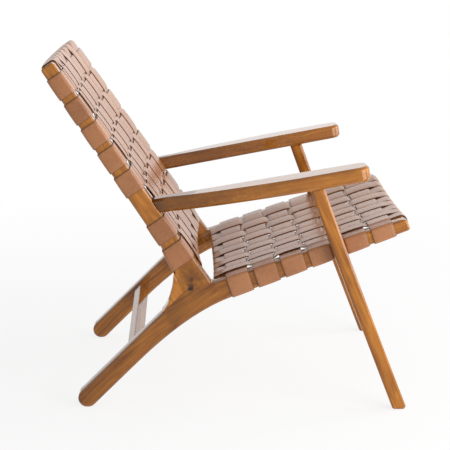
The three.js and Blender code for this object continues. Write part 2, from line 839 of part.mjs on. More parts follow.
placeWoodPair('front_leg', cut(
  sidePlate(frontLegOutline(), halfWidth + fitGap, halfWidth + fitGap + frontLegThickness, edgeChamfer),
  [dowelHole(armFrontDowel()), boltHole(halfWidth, halfWidth + boltInLeg + overrun)]));

placeWoodPair('armrest', cut(
  armPlate(), [stileSide(), dowelHole(armRearDowel()), dowelHole(armFrontDowel())]));

placeWood('seat_rear_rail', crossRail(seatRearRail));
placeWood('seat_front_rail', crossRail(seatFrontRail));
placeWood('back_top_rail', crossRail(backTopRail));
placeWood('back_bottom_rail', crossRail(backBottomRail));
placeWood('rear_stretcher', rearStretcher(), darkWood);

const [rearDowel, frontDowel] = stileDowels();
placeWoodPair('stile_rear_dowel', dowelPin(rearDowel));
placeWoodPair('stile_front_dowel', dowelPin(frontDowel));
placeWoodPair('arm_rear_dowel', dowelPin(armRearDowel()));
placeWoodPair('arm_front_dowel', dowelPin(armFrontDowel()));
placePair('front_leg_bolt', legBolt(), zincSteel, 0.35, 1);

placePanel('seat', seat, seatRearRail, seatFrontRail, seatWefts, (i, j) => (i + j) % 2 === 0);
placePanel('back', back, backTopRail, backBottomRail, backWefts, (i, j) => (i + j) % 2 === 1, isBesideArm);

// Set the origin on the floor, under the middle of the chair.
const bounds = new THREE.Box3().setFromObject(chair);
const middle = bounds.getCenter(new THREE.Vector3());
chair.position.set(-middle.x, 0, -bounds.min.z);
chair.updateMatrixWorld(true);

export default chair;
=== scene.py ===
import math

import bmesh
import bpy
from bpy.props import FloatProperty, FloatVectorProperty, IntProperty, PointerProperty
from mathutils import Matrix, Vector


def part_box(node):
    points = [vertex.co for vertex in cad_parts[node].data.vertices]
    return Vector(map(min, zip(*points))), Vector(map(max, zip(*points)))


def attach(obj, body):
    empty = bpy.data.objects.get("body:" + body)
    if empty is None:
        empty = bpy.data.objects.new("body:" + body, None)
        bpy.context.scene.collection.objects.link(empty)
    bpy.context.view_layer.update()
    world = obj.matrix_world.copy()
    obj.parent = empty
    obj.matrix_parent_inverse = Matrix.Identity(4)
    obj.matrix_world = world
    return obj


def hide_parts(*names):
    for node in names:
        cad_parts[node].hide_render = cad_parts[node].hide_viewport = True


bl_info = {
    "name": "Woven Leather Lounge Chair",
    "version": (1, 0, 0),
    "blender": (4, 5, 0),
    "location": "3D View > Sidebar > Chair",
    "description": "Rounds the chair's wood, weaves its leather straps and sets up the studio",
    "category": "Object",
}

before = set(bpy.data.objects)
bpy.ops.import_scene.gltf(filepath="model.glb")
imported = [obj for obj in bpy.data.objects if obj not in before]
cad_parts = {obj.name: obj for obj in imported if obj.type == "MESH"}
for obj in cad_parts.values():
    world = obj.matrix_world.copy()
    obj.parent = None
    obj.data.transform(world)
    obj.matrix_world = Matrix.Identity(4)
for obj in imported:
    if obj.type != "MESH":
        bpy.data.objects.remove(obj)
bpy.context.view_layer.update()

# Sizes of the side frame, in metres. Side outlines are measured from the rear foot.
LEG_WIDTH = 0.0395
LEG_ANGLE = math.radians(44.9)
HEEL = Vector((0.2626, 0.2695))
RAIL_ANGLE = math.radians(18.7)
RAIL_LENGTH = 0.427
RAIL_HEEL_DEPTH = 0.043
RAIL_NOSE_DEPTH = 0.0256
STILE_ANGLE = math.radians(55.15)
STILE_LENGTH = 0.5615
STILE_TOP_DEPTH = 0.029
STILE_LOW_DEPTH = 0.0415
STILE_FLARE_START = 0.436
STILE_FLARE = math.radians(7)
ARM_ANGLE = math.radians(10.05)
FRAME_HALF = 0.268
INNER_HALF = 0.232
EDGE_EASING = 0.004
SOLE_FLAT = 0.0005
SEAM_RUN = 0.0042
SEAM_REACH = 0.020
BLOCK_TOP = 0.4965
BLOCK_RUN = 0.063
RUN_OUT = 0.006

# Where the cross rails and the straps lie, along each panel
WARP_COUNT = 9
WARP_MARGIN = 0.0008
SEAT_WEFTS = (0.0556, 0.1151, 0.1746, 0.2341, 0.3129, 0.3715)
BACK_WEFTS = tuple(0.0502 + 0.060 * i for i in range(8))
ARM_SLOT = 5
SEAT_DISH = 0.0115
BACK_TOP_BOW = 0.013
BACK_LOW_BOW = 0.009
# A rail without a depth of its own is as deep as the side pieces.
SEAT_REAR_RAIL = {"face": 0.006, "depth": 0.028, "top": 0.004, "low": 0.004}
SEAT_FRONT_RAIL = {"face": RAIL_LENGTH, "depth": None, "top": 0.010, "low": 0.006}
BACK_TOP_RAIL = {"face": 0.0, "depth": None, "top": 0.006, "low": 0.006}
BACK_BOTTOM_RAIL = {"face": 0.526, "depth": 0.026, "top": 0.004, "low": 0.004}
STRAP_TAIL = 0.022
STRAP_GAP = 0.0003
SIDE_CLIMB = 0.009
CROSSING_MARGIN = 0.0005

# The outlines start at the rear foot, which the frame places.
FOOT_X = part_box("rear_leg_and_side_rail_right")[0][0] + LEG_WIDTH / 2
SIDE_ORIGIN = Vector((FOOT_X, 0.0))

# How the wood's edges are found and rounded
CAD_MERGE_REACH = 0.00001
FLAT_TURN = math.radians(0.4)
HARD_TURNS = (math.radians(24), math.radians(100))
JOINT_REACH = 0.0015
# Points of a rounded edge nearer than this are one point, so that no sliver is left.
MERGE_REACH = 0.00003

# A strap is drawn through this many lines along it, at these shares of its width.
STRAP_LINES = 7
STRAP_SHARES = tuple(i / (STRAP_LINES - 1) - 0.5 for i in range(STRAP_LINES))

# Knots where the right stile stands on its leg: the middle, and the reach of halo and dark core
KNOTS = (((FOOT_X + 0.2192, -0.268, 0.2622), 0.018, 0.0085),
         ((FOOT_X + 0.2200, -0.268, 0.2795), 0.026, 0.0065),
         ((FOOT_X + 0.2180, -0.268, 0.2900), 0.050, 0.0))
# Painted shade: the wood darkens towards the rear of the armrests' tops, given as middle, reach and
# no core
ARM_REAR_PAINTED_SHADE = (((FOOT_X + 0.185, -0.300, 0.450), 0.200, 0.0),
             ((FOOT_X + 0.250, 0.262, 0.450), 0.260, 0.0))
# Where along the rear legs' grain the wood turns paler
PALE_RUN = (0.42, 0.68)

# The camera of the photograph: its place, its three turns in degrees, and its lens
CAMERA_PLACE = (FOOT_X + 0.2080, -3.0602, 1.0129)
CAMERA_YAW, CAMERA_PITCH, CAMERA_ROLL = -1.68, 12.49, 0.15
CAMERA_LENS, CAMERA_SENSOR = 110.99, 36.0


def heading(angle):
    return Vector((math.cos(angle), math.sin(angle)))


def turned_left(direction):
    return Vector((-direction.y, direction.x))


def quadratic(start, control, end, steps):
    return [start * (1 - t) ** 2 + control * 2 * t * (1 - t) + end * t * t
            for t in (i / steps for i in range(steps + 1))]


def crossing(start, direction, other_start, other_direction):
    gap = other_start - start
    share = gap.cross(other_direction) / direction.cross(other_direction)
    return start + direction * share


STILE_DOWN = heading(-STILE_ANGLE)
STILE_TOP = HEEL - STILE_DOWN * STILE_LENGTH


class Panel:
    """The flat seat or back: a distance runs along it, and a height rises from the wood."""

    def __init__(self, origin, line, side_depth, bow):
        self.origin = origin + SIDE_ORIGIN
        self.line = line
        self.up = turned_left(line)
        self.side_depth = side_depth
        self.bow = bow

    def point(self, distance, across, height):
        dish = self.bow(distance) * max(0.0, 1 - (across / INNER_HALF) ** 2)
        spot = self.origin + self.line * distance + self.up * (height - dish)
        return Vector((spot.x, across, spot.y))


def rail_depth(distance):
    return RAIL_HEEL_DEPTH + (RAIL_NOSE_DEPTH - RAIL_HEEL_DEPTH) * distance / RAIL_LENGTH


def stile_depth(distance):
    taper = (STILE_LOW_DEPTH - STILE_TOP_DEPTH) / STILE_FLARE_START
    flare = math.tan(math.atan(taper) + STILE_FLARE)
    flared = max(0.0, distance - STILE_FLARE_START)
    return STILE_TOP_DEPTH + taper * distance + (flare - taper) * flared


def back_bow(distance):
    return BACK_TOP_BOW + (BACK_LOW_BOW - BACK_TOP_BOW) * distance / BACK_BOTTOM_RAIL["face"]


def stile_rear(distance):
    return STILE_TOP + STILE_DOWN * distance - turned_left(STILE_DOWN) * stile_depth(distance)


def joint_lines():
    """The lines, seen from the side, where the leg, the stile and the corner block meet flush."""
    leg_line = heading(LEG_ANGLE)
    leg_top = Vector((0.0, LEG_WIDTH / 2 - SOLE_FLAT)) + turned_left(leg_line) * (LEG_WIDTH / 2)
    block_top = stile_rear(BLOCK_TOP)
    foot = crossing(block_top, stile_rear(BLOCK_TOP + RUN_OUT) - block_top, leg_top, leg_line)
    toe = foot - leg_line * BLOCK_RUN
    start = foot + leg_line * SEAM_RUN
    seam = quadratic(start, start + leg_line * SEAM_REACH, HEEL, 24)
    return [(block_top, foot), (toe, start), *zip(seam, seam[1:])]


SEAT = Panel(HEEL, heading(RAIL_ANGLE), rail_depth, lambda distance: SEAT_DISH)
BACK = Panel(STILE_TOP, STILE_DOWN, stile_depth, back_bow)


# Sizes and colours that a user may change

class ChairWood(bpy.types.PropertyGroup):
    easing: FloatProperty(
        name="Edge easing", description="Widest that the wood's long edges are rounded",
        default=0.0025, min=0.0002, max=0.0028, unit="LENGTH")
    arm_easing: FloatProperty(
        name="Arm easing", description="Widest that the armrests' edges are rounded",
        default=0.0032, min=0.0002, max=0.0035, unit="LENGTH")
    easing_steps: IntProperty(
        name="Easing steps", description="Steps in that rounding", default=3, min=1, max=6)
    light: FloatVectorProperty(
        name="Light wood", description="Pale part of the honey wood's grain",
        default=(0.54, 0.205, 0.024), subtype="COLOR", min=0, max=1)
    dark: FloatVectorProperty(
        name="Dark wood", description="Dark part of the honey wood's grain",
        default=(0.240, 0.074, 0.007), subtype="COLOR", min=0, max=1)
    leg_light: FloatVectorProperty(
        name="Light leg wood", description="Pale part of the rear legs' grain",
        default=(0.420, 0.155, 0.018), subtype="COLOR", min=0, max=1)
    leg_dark: FloatVectorProperty(
        name="Dark leg wood", description="Dark part of the rear legs' grain",
        default=(0.150, 0.044, 0.006), subtype="COLOR", min=0, max=1)
    arm_light: FloatVectorProperty(
        name="Light arm wood", description="Pale part of the armrests' grain",
        default=(0.460, 0.172, 0.022), subtype="COLOR", min=0, max=1)
    arm_dark: FloatVectorProperty(
        name="Dark arm wood", description="Dark part of the armrests' grain",
        default=(0.220, 0.070, 0.008), subtype="COLOR", min=0, max=1)


class ChairLeather(bpy.types.PropertyGroup):
    width: FloatProperty(
        name="Strap width", description="Width of every strap", default=0.048, unit="LENGTH")
    thickness: FloatProperty(
        name="Strap thickness", description="Thickness of every strap",
        default=0.0022, unit="LENGTH")
    bulge: FloatProperty(
        name="Bulge", description="How far a strap bows out where it passes over another",
        default=0.0007, unit="LENGTH")
    lift: FloatProperty(
        name="Lift", description="How far long straps rise clear of the straps that they pass over",
        default=0.0004, min=0.0, unit="LENGTH")
    settle: FloatProperty(
        name="Settle", description="How far both sets of straps sink where a cross strap is on top",
        default=0.0004, min=0.0, unit="LENGTH")
    crown: FloatProperty(
        name="Crown", description="Rise of a strap's middle over its long edges",
        default=0.0005, unit="LENGTH")
    tan: FloatVectorProperty(
        name="Tan", description="Colour of the leather's face",
        default=(0.385, 0.157, 0.059), subtype="COLOR", min=0, max=1)
    deep_tan: FloatVectorProperty(
        name="Deep tan", description="Colour of the leather's darker patches",
        default=(0.285, 0.106, 0.037), subtype="COLOR", min=0, max=1)
    # Painted shade: the cut edges are coloured dark to stand in for the shadow in the gaps between
    # straps.
    cut_edge: FloatVectorProperty(
        name="Cut edge", description="Colour of the leather's cut edges",
        default=(0.100, 0.038, 0.016), subtype="COLOR", min=0, max=1)


class ChairStudio(bpy.types.PropertyGroup):
    world: FloatProperty(
        name="Sky", description="Strength of the light from all around", default=0.50, min=0)
    key: FloatProperty(
        name="Key lamp", description="Power of the lamp beside the camera",
        default=50, unit="POWER")
    rear: FloatProperty(
        name="Rear lamp", description="Power of the lamp behind the chair",
        default=3.6, unit="POWER")
    front: FloatProperty(
        name="Front lamp", description="Power of the lamp in front of the chair",
        default=40, unit="POWER")
    floor: FloatVectorProperty(
        name="Floor", description="Colour of the floor", default=(0.93, 0.93, 0.93),
        subtype="COLOR", min=0, max=1)


# Materials

def new_material(name):
    old = bpy.data.materials.get(name)
    if old:
        bpy.data.materials.remove(old)
    material = bpy.data.materials.new(name)
    material.use_nodes = True
    tree = material.node_tree
    tree.nodes.clear()
    output = tree.nodes.new("ShaderNodeOutputMaterial")
    shader = tree.nodes.new("ShaderNodeBsdfPrincipled")
    tree.links.new(shader.outputs["BSDF"], output.inputs["Surface"])
    return material, tree, shader


def add_node(tree, kind, inputs=None, **settings):
    node = tree.nodes.new(kind)
    for key, value in settings.items():
        setattr(node, key, value)
    for key, value in (inputs or {}).items():
        if isinstance(value, bpy.types.NodeSocket):
            tree.links.new(value, node.inputs[key])
        else:
            node.inputs[key].default_value = value
    return node


def shaded(colour, factor):
    return tuple(factor * value for value in colour)


def colour_ramp(tree, factor, stops):
    ramp = add_node(tree, "ShaderNodeValToRGB", {"Fac": factor})
    elements = ramp.color_ramp.elements
    while len(elements) < len(stops):
        elements.new(0.5)
    for element, (position, colour) in zip(elements, stops):
        element.position = position
        element.color = (*colour[:3], 1.0)
    return ramp.outputs["Color"]


def mix_colour(tree, factor, first, second):
    node = add_node(tree, "ShaderNodeMix", data_type="RGBA", blend_type="MIX")
    for index, value in ((0, factor), (6, first), (7, second)):
        if isinstance(value, bpy.types.NodeSocket):
            tree.links.new(value, node.inputs[index])
        elif isinstance(value, (int, float)):
            node.inputs[index].default_value = value
        else:
            node.inputs[index].default_value = (*value[:3], 1.0)
    return node.outputs[2]


def maths(tree, operation, first, second=0.0):
    return add_node(tree, "ShaderNodeMath", {0: first, 1: second}, operation=operation).outputs[0]


def mapped_range(tree, value, low, high, to_low, to_high):
    node = add_node(tree, "ShaderNodeMapRange", {
        "Value": value, "From Min": low, "From Max": high, "To Min": to_low, "To Max": to_high})
    return node.outputs["Result"]


def darken_knots_and_shade(tree, base, knots_and_shade, dark):
    """Darkens a wood towards the middle of each knot, and of each patch of painted shade."""
    spot = add_node(tree, "ShaderNodeTexCoord").outputs["Object"]
    blur = add_node(tree, "ShaderNodeTexNoise", {"Vector": spot, "Scale": 130.0, "Detail": 4.0})
    wobble = maths(tree, "SUBTRACT", blur.outputs["Fac"], 0.5)
    for middle, halo_reach, core_reach in knots_and_shade:
        away = add_node(tree, "ShaderNodeVectorMath", {0: spot, 1: middle}, operation="DISTANCE")
        ragged = maths(tree, "ADD", away.outputs["Value"], maths(
            tree, "MULTIPLY", wobble, 1.5 * halo_reach))
        halo = mapped_range(tree, ragged, 0.1 * halo_reach, halo_reach, 0.6, 0.0)
        base = mix_colour(tree, halo, base, shaded(dark, 0.62))
        if core_reach:
            frayed = maths(tree, "ADD", away.outputs["Value"], maths(
                tree, "MULTIPLY", wobble, 2.0 * core_reach))
            core = mapped_range(tree, frayed, 0.5 * core_reach, core_reach, 0.95, 0.0)
            base = mix_colour(tree, core, base, shaded(dark, 0.14))
    return base


def wood_material(name, light, dark, knots_and_shade=(), pale_end=None, has_grain=True):
    """Lacquered hardwood whose grain follows each piece by its own grain attribute, if it has one.

    The pale end is a light and a dark colour that the wood turns to along PALE_RUN.
    """
    material, tree, shader = new_material(name)
    if has_grain:
        grain = add_node(tree, "ShaderNodeAttribute", attribute_name="grain").outputs["Vector"]
    else:
        grain = add_node(tree, "ShaderNodeTexCoord").outputs["Object"]
    wander = add_node(tree, "ShaderNodeTexNoise", {
        "Vector": add_node(tree, "ShaderNodeMapping", {
            "Vector": grain, "Scale": (4.0, 18.0, 18.0)}).outputs["Vector"],
        "Scale": 1.0, "Detail": 2.0, "Roughness": 0.5})
    bent = add_node(tree, "ShaderNodeVectorMath", {
        0: add_node(tree, "ShaderNodeVectorMath", {
            0: wander.outputs["Color"], 1: (0.0, 0.024, 0.024)}, operation="MULTIPLY").outputs[0],
        1: grain}, operation="ADD").outputs[0]
    figure = add_node(tree, "ShaderNodeTexNoise", {
        "Vector": add_node(tree, "ShaderNodeMapping", {
            "Vector": bent, "Scale": (3.5, 75.0, 75.0)}).outputs["Vector"],
        "Scale": 1.0, "Detail": 5.0, "Roughness": 0.62, "Distortion": 0.4})
    rings = add_node(tree, "ShaderNodeTexWave", {
        "Vector": add_node(tree, "ShaderNodeMapping", {
            "Vector": bent, "Scale": (0.8, 34.0, 21.0)}).outputs["Vector"],
        "Scale": 1.0, "Distortion": 5.0, "Detail": 3.0, "Detail Scale": 1.6,
        "Detail Roughness": 0.6}, wave_type="BANDS", bands_direction="Y", wave_profile="SAW")
    pores = add_node(tree, "ShaderNodeTexNoise", {
        "Vector": add_node(tree, "ShaderNodeMapping", {
            "Vector": bent, "Scale": (60.0, 1500.0, 1500.0)}).outputs["Vector"],
        "Scale": 1.0, "Detail": 2.0, "Roughness": 0.6})
    middle = tuple((a + b) / 2 for a, b in zip(light, dark))
    patches = add_node(tree, "ShaderNodeTexNoise", {
        "Vector": add_node(tree, "ShaderNodeMapping", {
            "Vector": bent, "Scale": (9.0, 44.0, 44.0),
            "Location": (3.1, 1.7, 5.3)}).outputs["Vector"],
        "Scale": 1.0, "Detail": 2.5, "Roughness": 0.55, "Distortion": 1.0})
    drawn = maths(tree, "ADD", maths(tree, "MULTIPLY", figure.outputs["Fac"], 0.5),
                  maths(tree, "MULTIPLY", patches.outputs["Fac"], 0.5))
    base = colour_ramp(tree, drawn, [(0.34, dark), (0.50, middle), (0.66, light)])
    if pale_end:
        pale_light, pale_dark = pale_end
        run = add_node(tree, "ShaderNodeSeparateXYZ", {"Vector": grain}).outputs["X"]
        pale = colour_ramp(tree, drawn, [(0.34, pale_dark), (0.66, pale_light)])
        base = mix_colour(tree, mapped_range(tree, run, *PALE_RUN, 0.0, 1.0), base, pale)
    bands = mapped_range(tree, rings.outputs["Fac"], 0.60, 1.0, 0.0, 0.35)
    banded = mix_colour(tree, bands, base, dark)
    flecks = mapped_range(tree, pores.outputs["Fac"], 0.60, 0.72, 0.0, 0.35)
    flecked = mix_colour(tree, flecks, banded, shaded(dark, 0.55))
    tree.links.new(darken_knots_and_shade(tree, flecked, knots_and_shade, dark), shader.inputs["Base Color"])
    tree.links.new(
        mapped_range(tree, figure.outputs["Fac"], 0.3, 0.7, 0.42, 0.32), shader.inputs["Roughness"])
    bump = add_node(tree, "ShaderNodeBump", {
        "Strength": 0.12, "Distance": 0.0004, "Height": pores.outputs["Fac"]})
    tree.links.new(bump.outputs["Normal"], shader.inputs["Normal"])
    shader.inputs["Specular IOR Level"].default_value = 0.05
    shader.inputs["Coat Weight"].default_value = 1.0
    shader.inputs["Coat IOR"].default_value = 1.40
    shader.inputs["Coat Roughness"].default_value = 0.08
    return material


def leather_material(name, tan, deep_tan):
    """Smooth saddle leather, with painted shade darkening it towards its long edges."""
    material, tree, shader = new_material(name)
    spot = add_node(tree, "ShaderNodeTexCoord").outputs["Object"]
    run = add_node(tree, "ShaderNodeUVMap", uv_map="strap").outputs["UV"]
    tone = add_node(tree, "ShaderNodeAttribute", attribute_name="tone").outputs["Fac"]
    clouds = add_node(tree, "ShaderNodeTexNoise", {
        "Vector": spot, "Scale": 16.0, "Detail": 3.0, "Roughness": 0.55})
    mottle = add_node(tree, "ShaderNodeTexNoise", {
        "Vector": run, "Scale": 140.0, "Detail": 4.0, "Roughness": 0.6})
    pebbles = add_node(tree, "ShaderNodeTexVoronoi", {
        "Vector": run, "Scale": 900.0, "Randomness": 1.0}, feature="SMOOTH_F1")
    creases = add_node(tree, "ShaderNodeTexNoise", {
        "Vector": add_node(tree, "ShaderNodeMapping", {
            "Vector": run, "Scale": (60.0, 14.0, 1.0)}).outputs["Vector"],
        "Scale": 1.0, "Detail": 4.0, "Roughness": 0.6, "Distortion": 0.6})
    depth = maths(tree, "ADD", maths(tree, "MULTIPLY", clouds.outputs["Fac"], 0.55),
                  maths(tree, "MULTIPLY", mottle.outputs["Fac"], 0.45))
    toned = maths(tree, "ADD", depth, maths(tree, "MULTIPLY", tone, 0.16))
    base = colour_ramp(tree, toned, [(0.40, deep_tan), (0.66, tan)])
    across = maths(tree, "ABSOLUTE", add_node(
        tree, "ShaderNodeSeparateXYZ", {"Vector": run}).outputs["Y"])
    # Painted shade: the face darkens near its long edges, where the gaps between straps lie in
    # shadow.
    edge_painted_shade = mapped_range(tree, across, 0.0217, 0.0237, 0.0, 0.7)
    edge_shaded_base = mix_colour(tree, edge_painted_shade, base, shaded(deep_tan, 0.35))
    tree.links.new(edge_shaded_base, shader.inputs["Base Color"])
    roughness = mapped_range(tree, mottle.outputs["Fac"], 0.35, 0.65, 0.44, 0.56)
    tree.links.new(roughness, shader.inputs["Roughness"])
    fine = add_node(tree, "ShaderNodeBump", {
        "Strength": 0.20, "Distance": 0.0003, "Height": pebbles.outputs["Distance"]})
    soft = add_node(tree, "ShaderNodeBump", {
        "Strength": 0.25, "Distance": 0.0012, "Height": creases.outputs["Fac"],
        "Normal": fine.outputs["Normal"]})
    tree.links.new(soft.outputs["Normal"], shader.inputs["Normal"])
    shader.inputs["Specular IOR Level"].default_value = 0.35
    shader.inputs["Coat Weight"].default_value = 0.8
    shader.inputs["Coat IOR"].default_value = 1.35
    shader.inputs["Coat Roughness"].default_value = 0.26
    return material


def cut_edge_material(name, colour):
    """The fibres of a strap's cut edge, coloured dark as painted shade of the gaps between straps.
    """
    material, tree, shader = new_material(name)
    run = add_node(tree, "ShaderNodeTexCoord").outputs["Object"]
    fibres = add_node(tree, "ShaderNodeTexNoise", {
        "Vector": run, "Scale": 420.0, "Detail": 4.0, "Roughness": 0.65})
    base = colour_ramp(tree, fibres.outputs["Fac"], [
        (0.35, shaded(colour, 0.7)), (0.65, shaded(colour, 1.2))])
    tree.links.new(base, shader.inputs["Base Color"])
    bump = add_node(tree, "ShaderNodeBump", {
        "Strength": 0.4, "Distance": 0.0003, "Height": fibres.outputs["Fac"]})
    tree.links.new(bump.outputs["Normal"], shader.inputs["Normal"])
    shader.inputs["Roughness"].default_value = 0.75
    shader.inputs["Specular IOR Level"].default_value = 0.15
    return material


def zinc_material(name):
    """Zinc plated steel with a fine turned brightness."""
    material, tree, shader = new_material(name)
    spot = add_node(tree, "ShaderNodeTexCoord").outputs["Object"]
    cloud = add_node(tree, "ShaderNodeTexNoise", {"Vector": spot, "Scale": 260.0, "Detail": 3.0})
    base = colour_ramp(tree, cloud.outputs["Fac"], [
        (0.3, (0.42, 0.43, 0.45)), (0.7, (0.60, 0.61, 0.64))])
    tree.links.new(base, shader.inputs["Base Color"])
    roughness = mapped_range(tree, cloud.outputs["Fac"], 0.3, 0.7, 0.28, 0.42)
    tree.links.new(roughness, shader.inputs["Roughness"])
    shader.inputs["Metallic"].default_value = 1.0
    return material


# Shared steps of the pieces

def finish_piece(name, mesh, materials, slot, *nodes):
    piece = bpy.data.objects.new(name, mesh)
    bpy.context.collection.objects.link(piece)
    for material in materials:
        piece.data.materials.append(material)
    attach(piece, "root")
    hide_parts(*nodes)
    return piece


def grain_attribute(mesh, line, side):
    """Stores how far each point lies along the piece's middle line, and off it to two sides."""
    runs = [0.0]
    for start, end in zip(line, line[1:]):
        runs.append(runs[-1] + (end - start).length)
    values = []
    for vertex in mesh.vertices:
        best = None
        for index, (start, end) in enumerate(zip(line, line[1:])):
            stretch = end - start
            share = (vertex.co - start).dot(stretch) / stretch.length_squared
            low = 0.0 if index else -10.0
            high = 1.0 if index < len(line) - 2 else 10.0
            share = min(max(share, low), high)
            offset = vertex.co - (start + stretch * share)
            if best is None or offset.length < best[0]:
                tangent = stretch.normalized()
                across = tangent.cross(side).normalized()
                best = (offset.length, runs[index] + stretch.length * share, offset.dot(across))
        values.extend((best[1], best[2], vertex.co.dot(side)))
    attribute = mesh.attributes.new("grain", "FLOAT_VECTOR", "POINT")
    attribute.data.foreach_set("vector", values)


def is_on_joint(vertex, lines):
    spot = Vector((vertex.co.x - FOOT_X, vertex.co.z))
    for start, end in lines:
        stretch = end - start
        share = min(max((spot - start).dot(stretch) / stretch.length_squared, 0.0), 1.0)
        if (spot - start - stretch * share).length < JOINT_REACH:
            return True
    return False


def eased_copy(name, easing, steps, cuts=(), joints=()):
    """A copy of a CAD node with its hard edges rounded, sliced across where its grain bends.

    The bevel holds a whole piece to what its shortest edges leave room for. So the rear legs,
    the left stile and the right armrest keep next to none of their rounding.
    """
    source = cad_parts[name]
    mesh = bpy.data.meshes.new(name + "_wood")
    shape = bmesh.new()
    shape.from_mesh(source.data)
    bmesh.ops.remove_doubles(shape, verts=shape.verts, dist=CAD_MERGE_REACH)
    bmesh.ops.dissolve_limit(
        shape, angle_limit=FLAT_TURN, verts=shape.verts, edges=shape.edges)
    hard = [edge for edge in shape.edges
            if edge.is_manifold and HARD_TURNS[0] < edge.calc_face_angle(0.0) < HARD_TURNS[1]
            and edge.is_convex and not any(is_on_joint(vertex, joints) for vertex in edge.verts)]
    bmesh.ops.bevel(
        shape, geom=hard, offset=easing, offset_type="OFFSET", segments=steps, profile=0.5,
        affect="EDGES", clamp_overlap=True, material=-1)
    for point, normal in cuts:
        bmesh.ops.bisect_plane(
            shape, geom=shape.verts[:] + shape.edges[:] + shape.faces[:], plane_co=point,
            plane_no=normal, dist=CAD_MERGE_REACH)
    bmesh.ops.remove_doubles(shape, verts=shape.verts, dist=MERGE_REACH)
    bmesh.ops.dissolve_degenerate(shape, edges=shape.edges, dist=MERGE_REACH)
    for face in shape.faces:
        face.smooth = True
    shape.to_mesh(mesh)
    shape.free()
    mesh.materials.clear()
    return mesh


def weighted_normals(piece):
    modifier = piece.modifiers.new("weighted_normals", "WEIGHTED_NORMAL")
    modifier.mode = "FACE_AREA"
    modifier.weight = 50
    modifier.keep_sharp = False


def side_point(spot, across=0.0):
    return Vector((spot.x + FOOT_X, across, spot.y))


# Straps

def offset_path(path, distance):
    """The line at a distance to the left of a path, mitred at each bend."""
    moved = []
    for i, point in enumerate(path):
        before = (point - path[i - 1]).normalized() if i else None
        after = (path[i + 1] - point).normalized() if i < len(path) - 1 else None
        first = turned_left(before or after)
        middle = (first + turned_left(after or before)).normalized()
        moved.append(point + middle * (distance / middle.dot(first)))
    return moved


def rounded_corner(before, corner, after, radius, steps=6):
    back = (before - corner).normalized()
    ahead = (after - corner).normalized()
    half = back.angle(ahead) / 2
    centre = corner + (back + ahead).normalized() * (radius / math.sin(half))
    spoke = corner + back * (radius / math.tan(half)) - centre
    start = math.atan2(spoke.y, spoke.x)
    turn = (math.pi - 2 * half) * math.copysign(1, ahead.x * back.y - ahead.y * back.x)
    return [centre + heading(start + turn * i / steps) * radius for i in range(steps + 1)]


def rail_skin(panel, rail, sense):
    """The surface that a strap follows round a cross rail, from its tail to the panel's face."""
    face = rail["face"]

    def depth(distance):
        return rail["depth"] or panel.side_depth(distance)

    inside = face + sense * 0.02
    tail = face + sense * (rail["low"] + STRAP_TAIL)
    low_inside, low = Vector((inside, -depth(inside))), Vector((face, -depth(face)))
    top, top_inside = Vector((face, 0.0)), Vector((inside, 0.0))
    return [
        Vector((tail, -depth(tail))),
        *rounded_corner(low_inside, low, top, rail["low"]),
        *rounded_corner(low, top, top_inside, rail["top"]),
        top_inside,
    ]


def side_skin(depth, side):
    """The surface that a strap follows round a side piece, from its tail to the panel's face."""
    tail = Vector((FRAME_HALF - EDGE_EASING - STRAP_TAIL, -depth))
    low, top = Vector((FRAME_HALF, -depth)), Vector((FRAME_HALF, 0.0))
    inside = Vector((INNER_HALF, 0.0))
    points = [
        tail, *rounded_corner(tail, low, top, EDGE_EASING),
        *rounded_corner(low, top, inside, EDGE_EASING), inside]
    return [Vector((side * point.x, point.y)) for point in points]


def ramp(start, end, steps=4):
    points = []
    for i in range(1, steps + 1):
        share = i / steps
        smooth = share * share * (3 - 2 * share)
        points.append(Vector((
            start.x + (end.x - start.x) * share, start.y + (end.y - start.y) * smooth)))
    return points


def crossing_levels(leather, rise, sink):
    """The heights of a strap's middle where it passes over another strap and under one."""
    low = STRAP_GAP + leather.thickness / 2
    high = low + STRAP_GAP + leather.thickness
    return high + rise, low - sink


def woven_run(start, crossings, levels, end, leather):
    """The strap's middle line between its two wraps, over and under the straps that it meets."""
    high, low = levels
    reach = leather.width / 2 + CROSSING_MARGIN
    points = []
    last = start
    for centre, over in crossings:
        level, side = (high, 1) if over else (low, -1)
        points += ramp(last, Vector((centre - reach, level)))
        for share in (-0.75, -0.5, -0.25, 0.0, 0.25, 0.5, 0.75):
            points.append(Vector((
                centre + reach * share, level + side * leather.bulge * (1 - share * share))))
        last = Vector((centre + reach, level))
        points.append(last)
    return points + (ramp(last, end)[:-1] if end is not None else [])


def strap_path(start_skin, crossings, end_skin, leather):
    low = STRAP_GAP + leather.thickness / 2
    start = offset_path(start_skin, low)[:-1]
    end = offset_path(end_skin[::-1], low)[1:]
    levels = crossing_levels(leather, leather.lift, leather.settle)
    return start + woven_run(start[-1], crossings, levels, end[0], leather) + end


def warp_places(leather):
    span = 2 * INNER_HALF - 2 * WARP_MARGIN - leather.width
    return [(i - (WARP_COUNT - 1) / 2) * span / (WARP_COUNT - 1) for i in range(WARP_COUNT)]


